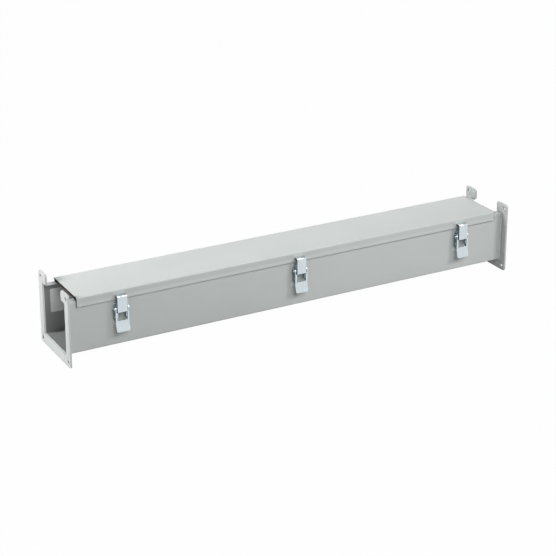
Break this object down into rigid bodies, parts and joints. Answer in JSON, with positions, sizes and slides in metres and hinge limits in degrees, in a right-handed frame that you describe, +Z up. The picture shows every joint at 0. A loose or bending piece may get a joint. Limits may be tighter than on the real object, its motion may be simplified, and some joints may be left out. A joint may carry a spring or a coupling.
{
  "type": "hinged cover wireway",
  "caption": "Straight lay-in steel wireway section with a gasketed hinged cover, draw latches and a drilled flange at each end.",
  "frame": {"origin": "on the floor under the middle of the duct, at the level of the end flanges' lower edges", "axes": "+X along the duct, -Y towards the latches, +Z up through the cover"},
  "size_m": [0.9144, 0.136, 0.136],
  "materials": {
    "painted_steel": "satin light grey powder coat",
    "zinc_plate": "bright zinc plate",
    "hinge_wire": "plain drawn wire",
    "gasket_foam": "matt cellular rubber"
  },
  "bodies": {
    "duct": {"trough": "painted_steel", "left_flange": "painted_steel", "right_flange": "painted_steel", "hinge_body_leaf": "painted_steel", "hinge_pin": "hinge_wire", "left_latch_base": "zinc_plate", "middle_latch_base": "zinc_plate", "right_latch_base": "zinc_plate"},
    "cover": {"cover": "painted_steel", "hinge_cover_leaf": "painted_steel", "gasket_front": "gasket_foam", "gasket_rear": "gasket_foam", "gasket_left": "gasket_foam", "gasket_right": "gasket_foam"},
    "left_lever": {"left_latch_lever": "zinc_plate"},
    "left_hook": {"left_latch_hook": "zinc_plate"},
    "middle_lever": {"middle_latch_lever": "zinc_plate"},
    "middle_hook": {"middle_latch_hook": "zinc_plate"},
    "right_lever": {"right_latch_lever": "zinc_plate"},
    "right_hook": {"right_latch_hook": "zinc_plate"}
  },
  "joints": [
    {"name": "cover_hinge", "type": "hinge", "parent": "duct", "child": "cover", "pos_m": [0, 0.0533, 0.1183], "axis": [-1, 0, 0], "range_deg": [0, 100]},
    {"name": "left_lever_pivot", "type": "hinge", "parent": "duct", "child": "left_lever", "pos_m": [-0.3556, -0.058, 0.089], "axis": [1, 0, 0], "range_deg": [-35, 0]},
    {"name": "left_hook_pivot", "type": "hinge", "parent": "left_lever", "child": "left_hook", "pos_m": [-0.3556, -0.0583, 0.0745], "axis": [1, 0, 0], "range_deg": [0, 115]},
    {"name": "middle_lever_pivot", "type": "hinge", "parent": "duct", "child": "middle_lever", "pos_m": [0, -0.058, 0.089], "axis": [1, 0, 0], "range_deg": [-35, 0]},
    {"name": "middle_hook_pivot", "type": "hinge", "parent": "middle_lever", "child": "middle_hook", "pos_m": [0, -0.0583, 0.0745], "axis": [1, 0, 0], "range_deg": [0, 115]},
    {"name": "right_lever_pivot", "type": "hinge", "parent": "duct", "child": "right_lever", "pos_m": [0.3556, -0.058, 0.089], "axis": [1, 0, 0], "range_deg": [-35, 0]},
    {"name": "right_hook_pivot", "type": "hinge", "parent": "right_lever", "child": "right_hook", "pos_m": [0.3556, -0.0583, 0.0745], "axis": [1, 0, 0], "range_deg": [0, 115]}
  ],
  "couplings": [
    {"joint": "left_lever_pivot", "follows": "cover_hinge", "ratio": -0.35},
    {"joint": "left_hook_pivot", "follows": "cover_hinge", "ratio": 1.15},
    {"joint": "middle_lever_pivot", "follows": "cover_hinge", "ratio": -0.35},
    {"joint": "middle_hook_pivot", "follows": "cover_hinge", "ratio": 1.15},
    {"joint": "right_lever_pivot", "follows": "cover_hinge", "ratio": -0.35},
    {"joint": "right_hook_pivot", "follows": "cover_hinge", "ratio": 1.15}
  ]
}
